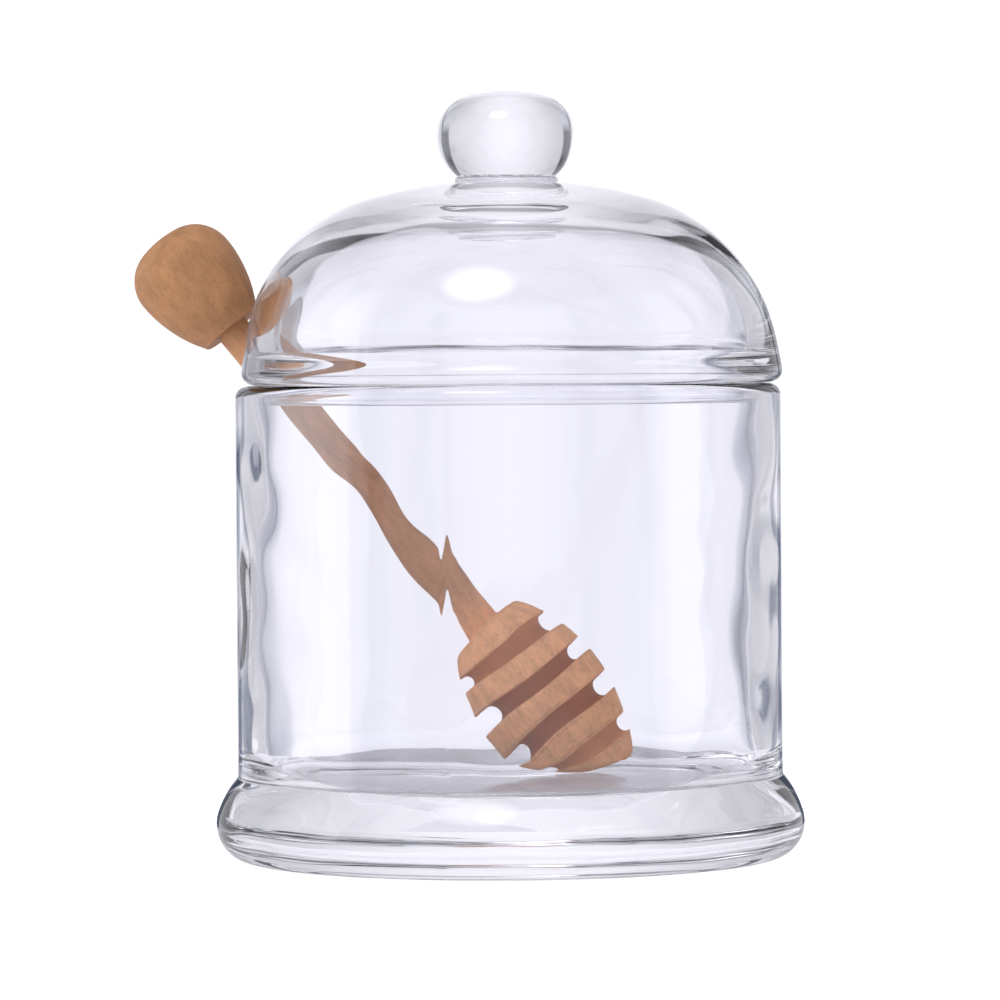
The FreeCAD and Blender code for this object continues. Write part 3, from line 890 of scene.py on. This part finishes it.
def glowing_shaded_card():
    """Paper that glows in painted shades of grey instead of taking light, soft at its two upright edges."""
    material = bpy.data.materials.new("glowing_shaded_card")
    material.use_nodes = True
    tree = material.node_tree
    tree.nodes.clear()
    coords = add(tree, "ShaderNodeTexCoord").outputs["Object"]
    parts = add(tree, "ShaderNodeSeparateXYZ", {"Vector": coords}).outputs
    angle = calculate(tree, "ARCTAN2", parts["Y"], parts["X"])
    off_middle = add(tree, "ShaderNodeMath", {0: angle, 1: math.pi / 2, 2: 0.0}, operation="WRAP").outputs[0]
    off_middle = calculate(tree, "ABSOLUTE", calculate(tree, "SUBTRACT", off_middle, math.pi / 4))
    far_x = calculate(tree, "ABSOLUTE", parts["X"])
    far_y = calculate(tree, "ABSOLUTE", parts["Y"])
    sideways = calculate(tree, "ARCTAN2", far_y, far_x)
    across = add(tree, "ShaderNodeMapRange",
                 {"Value": sideways, "From Min": math.radians(45 - card_spread),
                  "From Max": math.radians(45 + card_spread)}).outputs[0]
    low = add(tree, "ShaderNodeValToRGB", {"Fac": across})
    low_ramp = low.color_ramp.elements
    low_ramp[0].position, low_ramp[0].color = 0.05, (0.08, 0.095, 0.14, 1)
    low_ramp[1].position, low_ramp[1].color = 1.0, (0.9, 0.91, 0.95, 1)
    for place_across, shade in low_shades:
        low_ramp.new(place_across).color = (*shade, 1)
    outer_share = add(tree, "ShaderNodeMapRange",
                      {"Value": sideways, "From Min": math.radians(dark_edge[0]),
                       "From Max": math.radians(dark_edge[1])}).outputs[0]
    middle = add(tree, "ShaderNodeMix", {0: outer_share, 6: (*pale_tone, 1), 7: (*dark_tone, 1)},
                 data_type="RGBA").outputs[2]
    high = add(tree, "ShaderNodeValToRGB", {"Fac": calculate(tree, "DIVIDE", parts["Z"], card_height)})
    high_ramp = high.color_ramp.elements
    high_ramp[0].position, high_ramp[0].color = high_heights[0] / card_height, (0.15, 0.155, 0.17, 1)
    high_ramp[1].position, high_ramp[1].color = high_heights[1] / card_height, (0.06, 0.06, 0.065, 1)
    above_rim = add(tree, "ShaderNodeMapRange",
                    {"Value": parts["Z"], "From Min": rim_heights[0], "From Max": rim_heights[1]}).outputs[0]
    above_side = add(tree, "ShaderNodeMapRange",
                     {"Value": parts["Z"], "From Min": side_heights[0],
                      "From Max": side_heights[1]}).outputs[0]
    lower = add(tree, "ShaderNodeMix", {0: above_rim, 6: low.outputs[0], 7: middle},
                data_type="RGBA").outputs[2]
    shade = add(tree, "ShaderNodeMix", {0: above_side, 6: lower, 7: high.outputs[0]},
                data_type="RGBA").outputs[2]
    edge = add(tree, "ShaderNodeMapRange",
               {"Value": off_middle, "From Min": math.radians(card_spread - card_soft_edge),
                "From Max": math.radians(card_spread), "To Min": 1.0, "To Max": 0.0},
               interpolation_type="SMOOTHSTEP").outputs[0]
    # The card glows with its shades instead of taking light: its light and shade are painted
    glowing_shades = add(tree, "ShaderNodeEmission", {"Color": shade, "Strength": 1.0})
    gap = add(tree, "ShaderNodeBsdfTransparent")
    graded = add(tree, "ShaderNodeMixShader", {0: edge, 1: gap.outputs[0], 2: glowing_shades.outputs[0]})
    tree.links.new(graded.outputs[0], add(tree, "ShaderNodeOutputMaterial").inputs["Surface"])
    return material


glowing_card = glowing_shaded_card()
for side in range(card_count):
    middle_turn = 45 + 90 * side
    turns = np.radians(middle_turn + np.linspace(-card_spread, card_spread, card_strips + 1))
    feet = [(card_distance * math.cos(turn), card_distance * math.sin(turn), 0) for turn in turns]
    tops = [(x, y, card_height) for x, y, z in feet]
    strips = [(i, i + 1, i + card_strips + 2, i + card_strips + 1) for i in range(card_strips)]
    card_mesh = bpy.data.meshes.new("card")
    card_mesh.from_pydata(feet + tops, [], strips)
    card_mesh.materials.append(glowing_card)
    card = bpy.data.objects.new(f"card_{side + 1}", card_mesh)
    bpy.context.scene.collection.objects.link(card)
    card.visible_camera = False
    card.visible_diffuse = False
    card.visible_shadow = False

# -------------------------------------------------------------------------------------- Camera
# A long lens a little over a metre away, just above the level of the jar's rim and looking down
# very slightly. It is held a little askew.

view_distance = 1.09
view_height = 0.093
view_target = Vector((-0.0016, 0, 0.0668))
view_roll = math.radians(0.4)
camera_data = bpy.data.cameras.new("camera")
camera_data.lens = 210.5
camera_data.sensor_width = 36
camera = bpy.data.objects.new("camera", camera_data)
bpy.context.scene.collection.objects.link(camera)
camera.location = (view_target.x, -view_distance, view_height)
looking = (view_target - camera.location).to_track_quat("-Z", "Y").to_matrix().to_4x4()
rolled = Matrix.Rotation(-view_roll, 4, "Z")
camera.matrix_world = Matrix.Translation(camera.location) @ looking @ rolled
bpy.context.scene.camera = camera

scene = bpy.context.scene
scene.view_settings.view_transform = "Standard"
scene.cycles.max_bounces = 24
scene.cycles.transmission_bounces = 24
scene.cycles.glossy_bounces = 12
